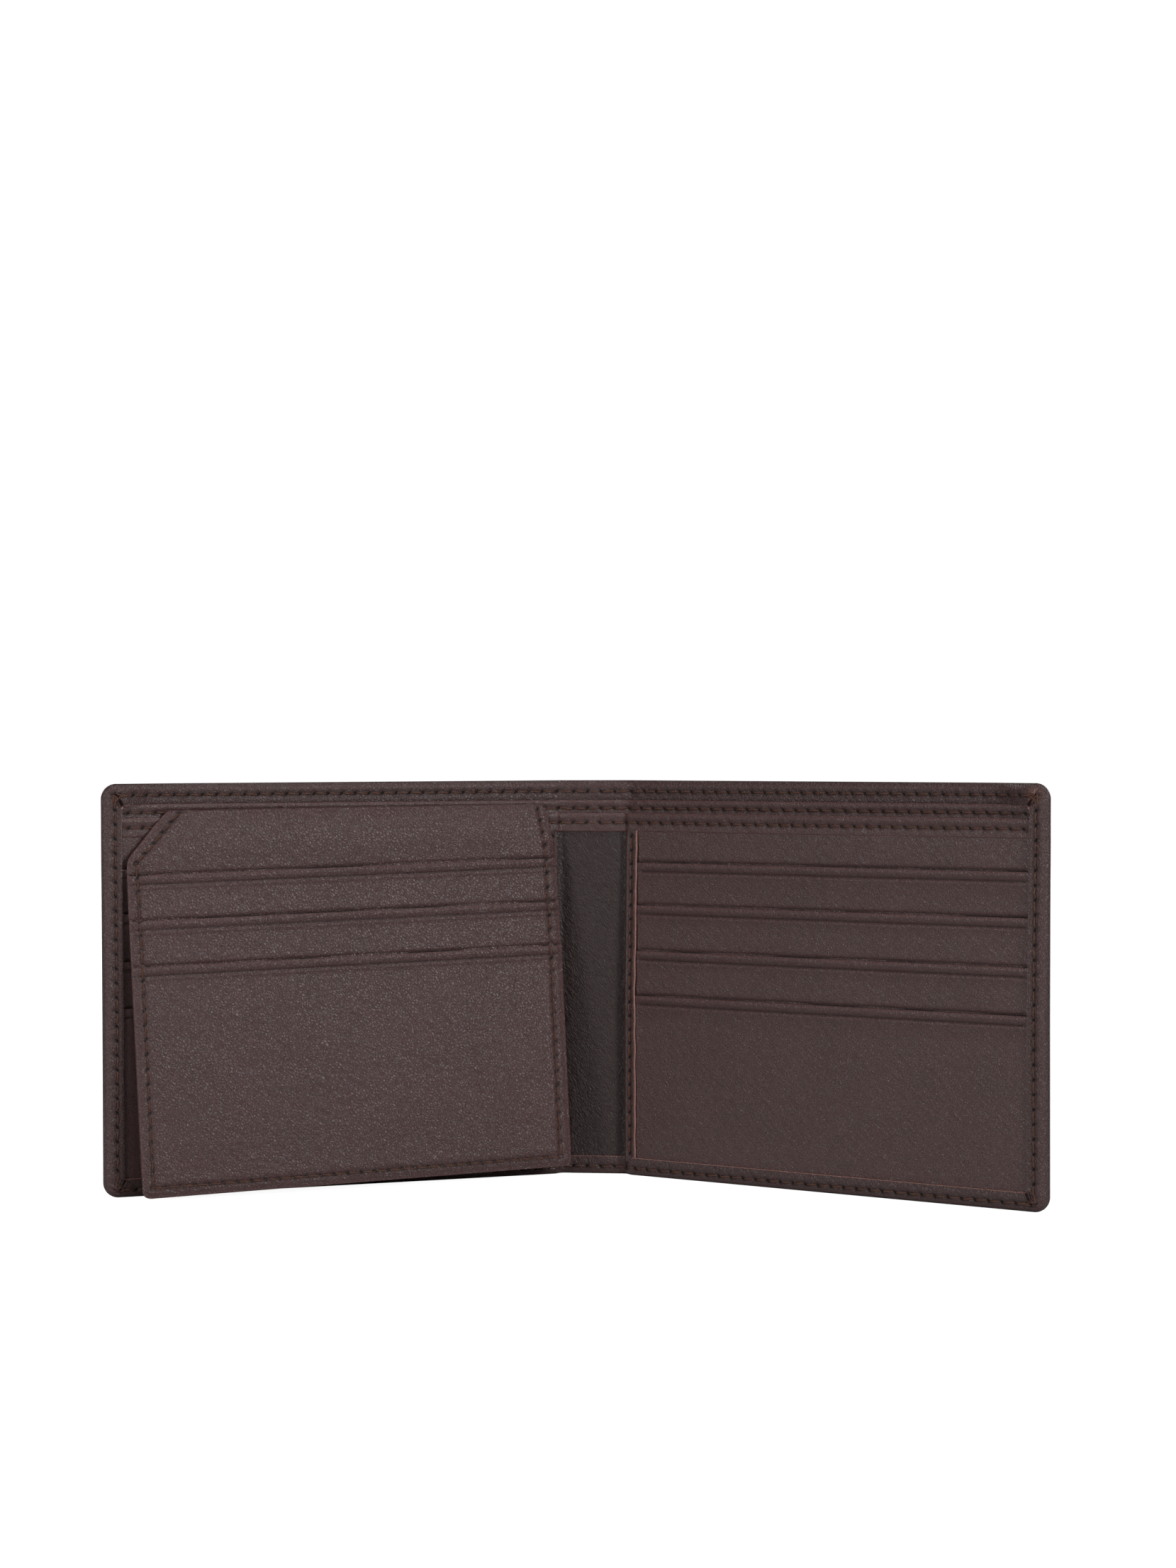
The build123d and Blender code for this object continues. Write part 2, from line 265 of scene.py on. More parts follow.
def seam_distance(a, b, holes):
    """Distance from each point to a seam's line."""
    best = np.full(np.shape(a), FAR)
    for (a0, b0), (a1, b1) in zip(holes[:-1], holes[1:]):
        length = (a1 - a0) ** 2 + (b1 - b0) ** 2
        along = np.clip(((a - a0) * (a1 - a0) + (b - b0) * (b1 - b0)) / length, 0, 1)
        best = np.minimum(best, np.hypot(a - a0 - along * (a1 - a0), b - b0 - along * (b1 - b0)))
    return best


def pucker(a, b, seams):
    """How sewing shapes the leather: (relief towards the viewer, how much each point is a hole)."""
    relief = np.zeros(np.shape(a))
    pits = np.zeros(np.shape(a))
    for holes in seams:
        gap = seam_distance(a, b, holes)
        near = gap < 4
        relief += PUFF * hump(gap - 1.15, 0.6) - GROOVE * hump(gap, 0.4)
        lean = math.atan2(holes[1][1] - holes[0][1], holes[1][0] - holes[0][0]) - HOLE_SLANT
        slit, spot = np.full(np.shape(a), FAR), np.full(np.shape(a), FAR)
        for ha, hb in holes:
            da, db = a[near] - ha, b[near] - hb
            along = (da * math.cos(lean) + db * math.sin(lean)) / HOLE_LENGTH
            aside = (db * math.cos(lean) - da * math.sin(lean)) / HOLE_WIDTH
            slit[near] = np.minimum(slit[near], np.hypot(along, aside))
            spot[near] = np.minimum(spot[near], np.hypot(da, db))
        pit = hump(slit, 1.0)
        relief -= HOLE_DEPTH * pit + DIMPLE * hump(spot, DIMPLE_SIZE)
        pits = np.maximum(pits, np.minimum(1.5 * pit, 1))
    return relief, pits


# ---- Meshes ----

def numbered(rows, columns):
    """A grid of point numbers, row by row."""
    return np.arange(rows * columns).reshape(rows, columns)


def grid_faces(index):
    """Quads of a grid of point numbers."""
    return together(index[:-1, :-1], index[:-1, 1:], index[1:, 1:], index[1:, :-1]).reshape(-1, 4)


def make_piece(name, points, faces, flat, marks, material, outward=False):
    """A smooth-shaded object with its flat leather coordinates and its marks on each point."""
    mesh = bpy.data.meshes.new(name)
    mesh.from_pydata(points.tolist(), [], faces)
    if not outward:
        work = bmesh.new()
        work.from_mesh(mesh)
        bmesh.ops.recalc_face_normals(work, faces=work.faces)
        work.to_mesh(mesh)
        work.free()
    for key, values in (("flat", flat), ("marks", marks)):
        attribute = mesh.attributes.new(key, "FLOAT_VECTOR", "POINT")
        attribute.data.foreach_set("vector", np.asarray(values, np.float32).ravel())
    mesh.shade_smooth()
    mesh.set_sharp_from_angle(angle=math.radians(50))
    mesh.materials.append(material)
    piece = bpy.data.objects.new(name, mesh)
    bpy.context.scene.collection.objects.link(piece)
    return piece


def make_skin(name, points, faces, flat, marks, material, outward=False):
    """A piece with its front's points and then its back's, which has no stitch holes."""
    flat, marks = flat.reshape(-1, 3), marks.reshape(-1, 3)
    return make_piece(name, points, faces.tolist(), np.concatenate([flat, flat]),
                      np.concatenate([marks, marks * (0, 1, 1)]), material, outward)


def closed_sheet(name, front, back, flat, marks, material):
    """A solid between two grids of points, joined round their border."""
    index = numbered(*front.shape[:2])
    count = index.size
    loop = np.concatenate([index[0], index[1:, -1], index[-1, -2::-1], index[-2:0:-1, 0]])
    following = np.roll(loop, -1)
    faces = np.concatenate([
        grid_faces(index),
        grid_faces(index + count)[:, ::-1],
        together(following, loop, loop + count, following + count),
    ])
    points = np.concatenate([front.reshape(-1, 3), back.reshape(-1, 3)])
    return make_skin(name, points, faces, flat, marks, material)


def thicken(points, faces, thickness):
    """A skin of quads given a thickness inwards: (points, faces)."""
    mesh = bpy.data.meshes.new("skin")
    mesh.from_pydata(points.tolist(), [], faces.tolist())
    normals = np.array([vertex.normal for vertex in mesh.vertices])
    bpy.data.meshes.remove(mesh)
    count = len(points)
    starts = faces.ravel()
    ends = np.roll(faces, -1, axis=1).ravel()
    rim = ~np.isin(starts * count + ends, ends * count + starts)
    starts, ends = starts[rim], ends[rim]
    walls = together(ends, starts, starts + count, ends + count)
    inner = points - normals * thickness
    return np.concatenate([points, inner]), np.concatenate([faces, faces[:, ::-1] + count, walls])


def seat(piece, side, nodes, flexes=False):
    """Put a piece on its half, or for a piece that crosses the spine leave it unparented in the row frame,
    and hide the CAD it replaces.
    """
    panel = side + "_panel"
    if flexes:
        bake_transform(piece)
    else:
        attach(piece, panel)
    if nodes:
        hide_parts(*nodes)


def border_round(distance, radius):
    """Share of its thickness that a sheet has at this distance from a rounded edge."""
    reach = np.clip(distance / radius, 0, 1)
    return np.maximum(np.sqrt(1 - (1 - reach) ** 2), 0.12)


def half_sheet(name, side, us, zs, front, thickness, material, seams=(), relief=None,
               soft=("low", "high", "end"), dark=None, radius=EDGE_SOFTNESS):
    """A leather or cloth sheet of one half, with its front at this depth and its soft edges rounded."""
    u, z = np.meshgrid(us, zs)
    away = {"end": us[-1] - u, "low": z - zs[0], "high": zs[-1] - z}
    distance = np.full(u.shape, FAR)
    for edge in soft:
        distance = np.minimum(distance, away[edge])
    body = front + thickness / 2
    half = thickness / 2 * border_round(distance, radius)
    sewn, pits = pucker(u, z, seams)
    rise = sewn if relief is None else sewn + relief(u, z)
    worn = 0.8 * hump(distance, 0.5)
    # dark(z) adds painted shade, for creases and gaps, to the marks of the stitch holes.
    if dark is not None:
        pits = np.maximum(pits, dark(z))
    near = place(side, u, body - half - rise, z)
    far = place(side, u, body + half, z)
    return closed_sheet(name, near, far, together(across(side, u), z, 0), together(pits, 0, worn), material)


def stitches(name, holes, surface, seed, flip=1, loose=False):
    """Thread from hole to hole along a seam, or from each loose pair's first hole to its second.
    surface(a, b, lift) gives points in the row frame."""
    random = np.random.default_rng(seed)
    share = np.linspace(0, 1, THREAD_STEPS)
    points, faces = [], []
    for (a0, b0), (a1, b1) in holes if loose else zip(holes[:-1], holes[1:]):
        length = math.hypot(a1 - a0, b1 - b0)
        along_a, along_b = (a1 - a0) / length, (b1 - b0) / length
        reach = np.linspace(THREAD_IN, length - THREAD_OUT, THREAD_STEPS) + random.uniform(-0.06, 0.06)
        tilt = flip * STITCH_SLANT * (share - 0.5) * random.uniform(0.7, 1.5)
        a = a0 + along_a * reach - along_b * tilt
        b = b0 + along_b * reach + along_a * tilt
        rise = THREAD_RISE + random.uniform(-0.04, 0.05)
        lift = -THREAD_SUNK + rise * np.sin(math.pi * share) ** 0.6
        core = surface(a, b, lift)
        up = surface(a, b, lift + 0.2) - core
        up /= np.linalg.norm(up, axis=1)[:, None]
        ahead = np.gradient(core, axis=0)
        ahead /= np.linalg.norm(ahead, axis=1)[:, None]
        aside = np.cross(ahead, up)
        first = len(points) * THREAD_STEPS * THREAD_SIDES
        turn = random.uniform(0, math.tau)
        angle = np.linspace(0, math.tau, THREAD_SIDES, endpoint=False)[None, :]
        lobes = 1 + 0.2 * np.cos(2 * (angle - turn - 5.2 * share[:, None]))
        radius = (THREAD_RADIUS * lobes * MM)[:, :, None]
        tube = core[:, None] + radius * (np.cos(angle)[..., None] * aside[:, None]
                                         + np.sin(angle)[..., None] * up[:, None])
        points.append(tube.reshape(-1, 3))
        index = first + numbered(THREAD_STEPS, THREAD_SIDES)
        around = np.roll(index, -1, axis=1)
        quads = together(index[:-1], around[:-1], around[1:], index[1:]).reshape(-1, 4)
        faces += quads.tolist() + [index[0][::-1].tolist(), index[-1].tolist()]
    points = np.concatenate(points)
    return make_piece(name, points, faces, points / MM, np.zeros_like(points), seam_thread)


def sew(side, name, holes, surface, nodes, seed, flexes=False, loose=False):
    """Stitch a seam of one half, for the CAD threads that it replaces."""
    seat(stitches(side + "_" + name, holes, surface, seed, loose=loose), side, nodes, flexes)


def over_spine(side, holes):
    """A level seam's holes, on the right half with one more beyond the middle of the spine."""
    if side == "left":
        return holes
    return np.concatenate([[[-FOLD_X - PITCH / 2, holes[0][1]]], holes])


# ---- Materials ----

def new_material(name):
    """A material, its node tree and its shader."""
    material = bpy.data.materials.new(name)
    material.use_nodes = True
    return material, material.node_tree, material.node_tree.nodes["Principled BSDF"]


def connect(tree, node, inputs):
    """Set a node's inputs to values, or link them to other nodes' outputs."""
    for name, value in inputs.items():
        if isinstance(value, bpy.types.NodeSocket):
            tree.links.new(value, node.inputs[name])
        else:
            node.inputs[name].default_value = value


def add_node(tree, kind, output, inputs, **settings):
    """Add a node, and give back one of its outputs."""
    node = tree.nodes.new("ShaderNode" + kind)
    for name, value in settings.items():
        setattr(node, name, value)
    connect(tree, node, inputs)
    return node.outputs[output]


def attribute(tree, name):
    """What make_piece wrote on the mesh under this name."""
    return add_node(tree, "Attribute", "Vector", {}, attribute_name=name)


def calculate(tree, operation, *values, clamp=False):
    """A math node on values or sockets."""
    return add_node(tree, "Math", 0, dict(enumerate(values)), operation=operation, use_clamp=clamp)


def blend_colour(tree, share, first, second):
    """A mix of two colours. The node's colour sockets follow those for numbers and vectors."""
    return add_node(tree, "Mix", 2, {0: share, 6: first, 7: second}, data_type="RGBA")


def turned(tree, vector, degrees, scale):
    """Flat coordinates turned in the leather's plane, then made longer by scale."""
    inputs = {"Rotation": (0, 0, math.radians(degrees)), "Scale": scale, "Vector": vector}
    return add_node(tree, "Mapping", "Vector", inputs, vector_type="TEXTURE")


def noise(tree, vector, scale, detail, roughness=0.5):
    """Soft random clouds."""
    inputs = {"Scale": scale, "Detail": detail, "Roughness": roughness, "Vector": vector}
    return add_node(tree, "TexNoise", 0, inputs)


def bump(tree, height, distance, below=None):
    """A bump of this distance in millimetres, on top of another if there is one."""
    inputs = {"Distance": distance * MM, "Height": height}
    if below is not None:
        inputs["Normal"] = below
    return add_node(tree, "Bump", "Normal", inputs)


def shade(colour, factor):
    """A colour made lighter or darker."""
    return tuple(channel * factor for channel in colour[:3]) + (1.0,)


GRAIN_LEAN = 40.0              # degrees that the grain's pebbles lean
RAW_EDGE = (0.34, 0.16, 0.125, 1.0)
HOLE_SHADE = (0.0025, 0.0015, 0.0015, 1.0)
WHITE = (1.0, 1.0, 1.0, 1.0)


def leather(name, colour, grain, depth, roughness=0.36, stretch=1.6):
    """Dark leather: pebbles parted by fine creases that lean one way, with a painted highlight on their
    tops, soft clouds, worn and raw edges, and painted shade in stitch holes, creases and gaps.
    """
    material, tree, shader = new_material(name)
    flat = attribute(tree, "flat")
    pebble = turned(tree, flat, GRAIN_LEAN, (1.0, stretch, 1.0))
    long_pebble = turned(tree, flat, GRAIN_LEAN + 8, (1.0, 3.5, 1.0))
    swirl = add_node(tree, "TexNoise", "Color", {"Scale": 0.8, "Vector": flat})
    pebble = add_node(tree, "VectorMath", 0, {0: swirl, 1: (0.35, 0.35, 0.35), 2: pebble},
                      operation="MULTIPLY_ADD")
    border = add_node(tree, "TexVoronoi", "Distance", {"Scale": 1 / grain, "Vector": pebble},
                      feature="DISTANCE_TO_EDGE")
    crease = add_node(tree, "MapRange", "Result", {"From Max": 0.22, "Value": border},
                      interpolation_type="SMOOTHSTEP")
    wander = noise(tree, pebble, 0.9 / grain, 3.0, 0.6)
    height = calculate(tree, "MULTIPLY_ADD", crease, 0.5, wander)
    wrinkle = noise(tree, long_pebble, 0.9, 3.0)
    clouds = noise(tree, flat, 0.05, 3.0, 0.6)
    dust = noise(tree, flat, 2.2, 3.0, 0.65)
    body = blend_colour(tree, clouds, shade(colour, 0.74), shade(colour, 1.26))
    body = blend_colour(tree, calculate(tree, "MULTIPLY", wrinkle, 0.5), body, shade(colour, 0.72))
    # Painted highlight: the pebble tops are made lighter, standing in for glints on the grain.
    painted_glint = calculate(tree, "MULTIPLY_ADD", height, 1.1, -0.6, clamp=True)
    body = blend_colour(tree, painted_glint, body, shade(colour, 1.75))
    split = tree.nodes.new("ShaderNodeSeparateXYZ")
    connect(tree, split, {0: attribute(tree, "marks")})
    pit, raw, worn = split.outputs
    body = blend_colour(tree, calculate(tree, "MULTIPLY", worn, dust), body, shade(colour, 1.9))
    body = blend_colour(tree, raw, body, RAW_EDGE)
    # pit brings the stitch holes and the painted shade in the creases below the mouths and in the gaps
    # above them, all painted near black.
    body = blend_colour(tree, pit, body, HOLE_SHADE)
    gloss = calculate(tree, "MULTIPLY_ADD", dust, 0.2, roughness - 0.1)
    dull = calculate(tree, "MULTIPLY", pit, 0.5)
    connect(tree, shader, {
        "Base Color": body,
        "Roughness": calculate(tree, "ADD", gloss, dull, clamp=True),
        "Normal": bump(tree, wrinkle, depth * 1.5, bump(tree, height, depth)),
        "Specular IOR Level": 0.5,
    })
    return material


def cloth(name, colour):
    """Plain-woven lining."""
    material, tree, shader = new_material(name)
    flat = attribute(tree, "flat")
    waves = []
    for degrees in (0.0, 90.0):
        vector = turned(tree, flat, degrees, (1.0, 1.0, 1.0))
        waves.append(add_node(tree, "TexWave", "Fac", {"Scale": 1.1, "Distortion": 0.4, "Vector": vector}))
    weave = calculate(tree, "MULTIPLY", *waves)
    body = blend_colour(tree, weave, shade(colour, 0.7), shade(colour, 1.5))
    connect(tree, shader, {"Base Color": body, "Normal": bump(tree, weave, 0.05), "Roughness": 0.8,
                           "Sheen Weight": 0.2})
    return material


def thread(name, colour):
    """Twisted sewing thread."""
    material, tree, shader = new_material(name)
    flat = attribute(tree, "flat")
    fibre = noise(tree, turned(tree, flat, 30, (1.0, 0.25, 1.0)), 3.0, 3.0)
    patches = noise(tree, flat, 0.35, 2.0)
    body = blend_colour(tree, fibre, shade(colour, 0.45), shade(colour, 1.5))
    body = blend_colour(tree, patches, body, shade(colour, 0.6))
    connect(tree, shader, {"Base Color": body, "Normal": bump(tree, fibre, 0.06), "Roughness": 0.62})
    return material


LEATHER = (0.058, 0.0275, 0.026)
outer_leather = leather("outer_leather", shade(LEATHER, 0.78), grain=0.55, depth=0.12, roughness=0.42)
hem_leather = leather("hem_leather", shade(LEATHER, 0.85), grain=0.42, depth=0.09, stretch=1.3)
inner_leather = leather("inner_leather", LEATHER, grain=0.4, depth=0.075)
flap_leather = leather("flap_leather", LEATHER, grain=0.5, depth=0.15)
# Painted shade: the spine's leather is the same leather made much darker, for the shade at the spine
# between the two halves.
shade_darkened_spine_leather = leather("shade_darkened_spine_leather", shade(LEATHER, 0.4), grain=0.5, depth=0.14, roughness=0.45,
                        stretch=2.2)
lining_cloth = cloth("lining_cloth", (0.03, 0.022, 0.02))
seam_thread = thread("seam_thread", (0.095, 0.035, 0.018))


# ---- Cover ----
SEAM_START = -FOLD_X + PITCH / 2
top_holes = together(run(SEAM_START, SIDE_SEAM - 1.0), TOP_SEAM)
bottom_holes = together(run(SEAM_START, SIDE_SEAM - 1.0), BOTTOM_SEAM)
side_holes = together(SIDE_SEAM, run(BOTTOM_SEAM + 1.2, TOP_SEAM))
COVER_SEAMS = (top_holes, bottom_holes, side_holes)

LEVELS_Z = [0.0] + SLOT_TOPS[::-1] + [CARD_TOP, LINER_TOP, HEIGHT]
LEVELS_W = [SLOT_FRONTS[3]] + SLOT_FRONTS[::-1] + [-BACKING_T - 0.1, -BACKING_T - 0.1, CORNER_FRONT + HEM_T]


def cards_front(z):
    """Depth of the card layers' front at each height, without their steps."""
    return np.interp(z, LEVELS_Z, LEVELS_W)


def hem_front(u, z):
    """Depth of the turned edge's front, once settled."""
    side = cards_front(z) - HEM_T
    foot = -HEM_T + (HEM_FRONT + HEM_T) * smooth((u + 0.3) / 2.6)
    margin = settle(u, MARGIN, z)
    top = margin + (CORNER_FRONT - margin) * smooth((u - RISE_START) / (RISE_END - RISE_START))
    level = np.where(z > HEIGHT / 2, top, foot)
    nearest = np.minimum(z, HEIGHT - z)
    return level + (side - level) * smooth(0.5 + (nearest - (WIDTH - u)) / 3)


def rounded(u, z):
    """The cover's outline with its two outer corners rounded: (u, z, distance to the edge)."""
    a = np.clip((u - WIDTH + CORNER_RADIUS) / CORNER_RADIUS, 0, 1)
    up = z > HEIGHT / 2
    b = np.clip((np.where(up, z, HEIGHT - z) - HEIGHT + CORNER_RADIUS) / CORNER_RADIUS, 0, 1)
    a, b = a * np.sqrt(1 - b * b / 2), b * np.sqrt(1 - a * a / 2)
    reach = b * CORNER_RADIUS
    z = np.where(b > 0, np.where(up, HEIGHT - CORNER_RADIUS + reach, CORNER_RADIUS - reach), z)
    u = np.where(a > 0, WIDTH - CORNER_RADIUS + a * CORNER_RADIUS, u)
    straight = np.minimum(np.minimum(WIDTH - u, z), HEIGHT - z)
    curved = CORNER_RADIUS * (1 - np.hypot(a, b))
    return u, z, np.where((a > 0) & (b > 0), curved, straight)


def back_surface(u, z, distance):
    """Depth of the cover's outside, with its rounded rim."""
    back = settle(u, BACK, z)
    core = (back + hem_front(u, z)) / 2
    swell = 0.12 * ripple(u, z, 60.0, 5) * smooth(distance / 12)
    reach = np.clip(distance / RIM, 0, 1)
    return core + (back - core) * np.sqrt(1 - (1 - reach) ** 2) + swell


def ring(border_u, border_z, inset_side, inset_bottom, inset_top):
    """The cover's outline drawn in by three insets, point for point with its border."""
    radius = max(CORNER_RADIUS - inset_side, 0.25)
    centre_u = WIDTH - inset_side - radius
    low, high = inset_bottom + radius, HEIGHT - inset_top - radius
    on_arc_u = border_u - (WIDTH - CORNER_RADIUS)
    up = border_z > HEIGHT / 2
    on_arc_z = np.where(up, border_z - (HEIGHT - CORNER_RADIUS), CORNER_RADIUS - border_z)
    angle = np.arctan2(np.maximum(on_arc_z, 0), np.maximum(on_arc_u, 1e-9))
    arc = (on_arc_u > 0) & (on_arc_z > 0)
    level = on_arc_u <= 0
    u = np.where(arc, centre_u + radius * np.cos(angle), np.where(level, np.minimum(border_u, centre_u),
                                                                WIDTH - inset_side))
    reach = radius * np.sin(angle)
    arc_z = np.where(up, high + reach, low - reach)
    straight_z = np.where(up, HEIGHT - inset_top, inset_bottom)
    z = np.where(arc, arc_z, np.where(level, straight_z, np.clip(border_z, low, high)))
    return u, z, arc, angle


def hem_insets():
    """Insets of the hem's rings, as rows of (side, bottom, top, share of the rim)."""
    rows = [(RIM * (1 - math.cos(t)),) * 3 + (math.sin(t),) for t in np.radians((15, 32, 50, 68, 90))]
    seams = (WIDTH - SIDE_SEAM, BOTTOM_SEAM, HEIGHT - TOP_SEAM)
    ends = (HEM_SIDE, HEM_BOTTOM, HEM_TOP)
    for offset in (-0.5, -0.22, 0.0, 0.22, 0.5):
        rows.append(tuple(max(seam + offset, RIM + 0.05 * (offset + 1)) for seam in seams) + (1.0,))
    for share in (0.3, 0.6, 0.85, 0.94, 1.0):
        insets = (seam + 0.5 + (end - seam - 0.5) * share for seam, end in zip(seams, ends))
        rows.append(tuple(insets) + (1.0,))
    return rows


def cover(side):
    """Outer leather of one half and half the spine, turned in over its three edges."""
    us = lines(-FOLD_X, WIDTH, 2.4, holes=top_holes[:, 0], seams=(SIDE_SEAM,),
               edges=(WIDTH,), creases=(WIDTH - 2.2, WIDTH - 3.4, 0.0, 1.5))
    zs = lines(0, HEIGHT, 2.4, holes=side_holes[:, 1], seams=(BOTTOM_SEAM, TOP_SEAM),
               edges=(0, HEIGHT), creases=(2.2, 3.4, HEIGHT - 3.4))
    u, z = np.meshgrid(us, zs)
    u, z, distance = rounded(u, z)
    relief, pits = pucker(u, z, COVER_SEAMS)
    w = back_surface(u, z, distance) + relief
    flat = [together(across(side, u), z, w).reshape(-1, 3)]
    marks = [together(pits, 0, 0.9 * hump(distance, 0.8)).reshape(-1, 3)]
    points = [bend(side, u, w, z).reshape(-1, 3)]
    index = numbered(*u.shape)
    faces = [grid_faces(index)[:, ::-1]]
    border = np.concatenate([index[0], index[1:, -1], index[-1, -2::-1]])
    border_u, border_z = u.ravel()[border], z.ravel()[border]
    previous, first = border, index.size
    back_edge = w.ravel()[border]
    for inset_side, inset_bottom, inset_top, share in hem_insets():
        ru, rz, arc, angle = ring(border_u, border_z, inset_side, inset_bottom, inset_top)
        relief, pits = pucker(ru, rz, COVER_SEAMS)
        front = hem_front(ru, rz)
        pleats = 0.22 * np.sin(angle * 9) * arc * smooth((inset_side - 0.4) / 1.5)
        rw = back_edge + (front - back_edge) * share - relief * smooth(inset_side - 1) - pleats
        rw = rw - 0.12 * hump(inset_side - 1.3, 0.45)
        last = inset_side > HEM_SIDE - 0.05
        creased = hump(ru - 8.0, 13.0) * (rz > HEIGHT / 2) * (side == "left")
        creased = creased * smooth((inset_side - 0.3) / 1.2)
        rw = rw - 0.16 * ripple(ru, rz * 0.3, 7.5, 77) * creased
        frayed = FRAYED * hump(np.hypot(ru - WIDTH + 3.6, rz - HEIGHT + 2.4), 1.1) * (side == "right")
        now = first + np.arange(len(border))
        faces.append(together(previous[:-1], previous[1:], now[1:], now[:-1]))
        points.append(bend(side, ru, rw, rz))
        flat.append(together(across(side, ru), rz, rw + 20))
        marks.append(together(pits, np.maximum(frayed, last), 0.9 * hump(inset_side - 1.2, 0.5)))
        previous, first = now, first + len(border)
    faces = np.concatenate(faces)
    if side == "left":
        faces = faces[:, ::-1]
    points, faces = thicken(np.concatenate(points), faces, COVER_T * MM)
    piece = make_skin(side + "_cover_leather", points, faces, np.concatenate(flat), np.concatenate(marks),
                      outer_leather, outward=True)
    nodes = [side + "_cover_edge_side"]
    for part in (side, "spine"):
        nodes += [part + "_cover", part + "_cover_edge_bottom", part + "_cover_edge_top"]
    seat(piece, side, nodes, flexes=True)


def hem_surface(side):
    """Where thread lies on the turned edges."""
    def surface(u, z, lift):
        return bend(side, u, hem_front(u, z) - lift, z)
    return surface


def back_seam_surface(side):
    """Where thread lies on the cover's outside."""
    def surface(u, z, lift):
        distance = np.minimum(np.minimum(WIDTH - u, z), HEIGHT - z)
        return bend(side, u, back_surface(u, z, distance) + lift, z)
    return surface


# Stitches that cross at the outer corners, from where the two seams meet: along u, and away from the middle
CORNER_STITCHES = (((-2.2, 0.5), (0.7, -1.7)), ((0.9, 0.5), (-1.7, -1.5)), ((-3.0, -0.5), (0.2, 0.6)),
                   ((0.5, 0.8), (0.3, -2.4)))


def cover_threads(side):
    """The seam round the cover, inside and outside, and the crossed stitches at its corners."""
    names = ("top_thread", "bottom_thread", "side_thread")
    for number, (name, holes) in enumerate(zip(names, COVER_SEAMS)):
        flexes = name != "side_thread"
        if flexes:
            holes = over_spine(side, holes)
        nodes = [side + "_" + name] + (["spine_threads"] if name == "top_thread" else [])
        sew(side, name + "_inside", holes, hem_surface(side), nodes, number, flexes)
        sew(side, name + "_outside", holes, back_seam_surface(side), [], number + 5, flexes)
    crossed = []
    for level, turn in ((TOP_SEAM, 1), (BOTTOM_SEAM, -1)):
        for (a0, b0), (a1, b1) in CORNER_STITCHES:
            crossed.append(((SIDE_SEAM + a0, level + turn * b0), (SIDE_SEAM + a1, level + turn * b1)))
    sew(side, "corner_stitches", crossed, hem_surface(side), [], 17, loose=True)


# ---- Sheets that cross the spine ----
SHEET_END = LAYER_END - 0.4    # where the divider and the liner stop, inside the side seam

def lining(side):
    """Cloth on the inside of the cover."""
    us = lines(-FOLD_X, LAYER_END - 1, 4.0, creases=(-BEND, 0, BEND))
    zs = lines(1.0, HEIGHT - 1.3, 5.0)
    piece = half_sheet(side + "_lining", side, us, zs, LINING, 0.2, lining_cloth, radius=0.1)
    nodes = [side + "_cover_lining", side + "_cover_stiffener", "spine_lining"]
    seat(piece, side, nodes, flexes=True)


def divider(side):
    """Leather divider between the two bill compartments, with its turned and sewn upper edge."""
    holes = together(run(SEAM_START, LAYER_END - 2), DIVIDER_SEAM)
    us = lines(-FOLD_X, SHEET_END, 3.2, holes=holes[:, 0], edges=(SHEET_END,), creases=(0.0, 1.5))
    zs = lines(1.0, DIVIDER_TOP, 6.0, seams=(DIVIDER_SEAM,), edges=(DIVIDER_TOP,),
               creases=(DIVIDER_TOP - 5,))

    def relief(u, z):
        fold = 0.1 * hump(DIVIDER_TOP - z - 0.6, 0.5)
        return fold + 0.05 * ripple(u, z * 2, 14.0, 8) * smooth((z - 70) / 10)

    piece = half_sheet(side + "_divider", side, us, zs, DIVIDER, DIVIDER_T, inner_leather, (holes,), relief)
    seat(piece, side, [side + "_bill_divider", "spine_divider"], flexes=True)
    sew(side, "divider_stitches", over_spine(side, holes),
        lambda u, z, lift: place(side, u, DIVIDER - lift, z), [side + "_divider_thread"], 21, flexes=True)


def liner(side):
    """Inner liner that shows as the spine, with its upper edge turned down in front and sewn."""
    holes = together(run(SEAM_START, LAYER_END - 2), LINER_SEAM)
    top = LINER_TOP - 0.3
    us = lines(-FOLD_X, SHEET_END, 3.2, edges=(SHEET_END,), creases=(-1.5, 0.0, 1.5))
    zs = lines(1.0, top, 2.5, edges=(top,))

    def spine_relief(u, z):
        return 0.06 * ripple(u, z, 22.0, 3) * smooth((u + FOLD_X) / 3) - 0.15 * hump(u, 0.8)

    sheet = half_sheet(side + "_liner", side, us, zs, 0, LINER_T, shade_darkened_spine_leather, relief=spine_relief)
    seat(sheet, side, [side + "_inner_liner", "spine_liner"], flexes=True)
    us = lines(-FOLD_X, SHEET_END, 3.2, holes=holes[:, 0], edges=(SHEET_END,), creases=(-1.5, 0.0, 1.5))
    zs = lines(CARD_TOP, LINER_TOP, 3.0, seams=(LINER_SEAM,), edges=(CARD_TOP, LINER_TOP))

    def band_relief(u, z):
        fold = 0.12 * hump(LINER_TOP - z - 0.7, 0.5) - 0.07 * hump(z - CARD_TOP - 0.9, 0.3)
        crease = -0.2 * hump(u, 0.7) + 0.12 * hump(u - 1.3, 0.8)
        return fold + crease + 0.03 * ripple(u, z * 2, 9.0, 11)

    band = half_sheet(side + "_liner_band", side, us, zs, -LINER_T, LINER_T + 0.2, inner_leather,
                      (holes,), band_relief)
    seat(band, side, [], flexes=True)
    sew(side, "liner_stitches", over_spine(side, holes),
        lambda u, z, lift: place(side, u, -LINER_T - lift, z), [side + "_liner_thread"], 22, flexes=True)


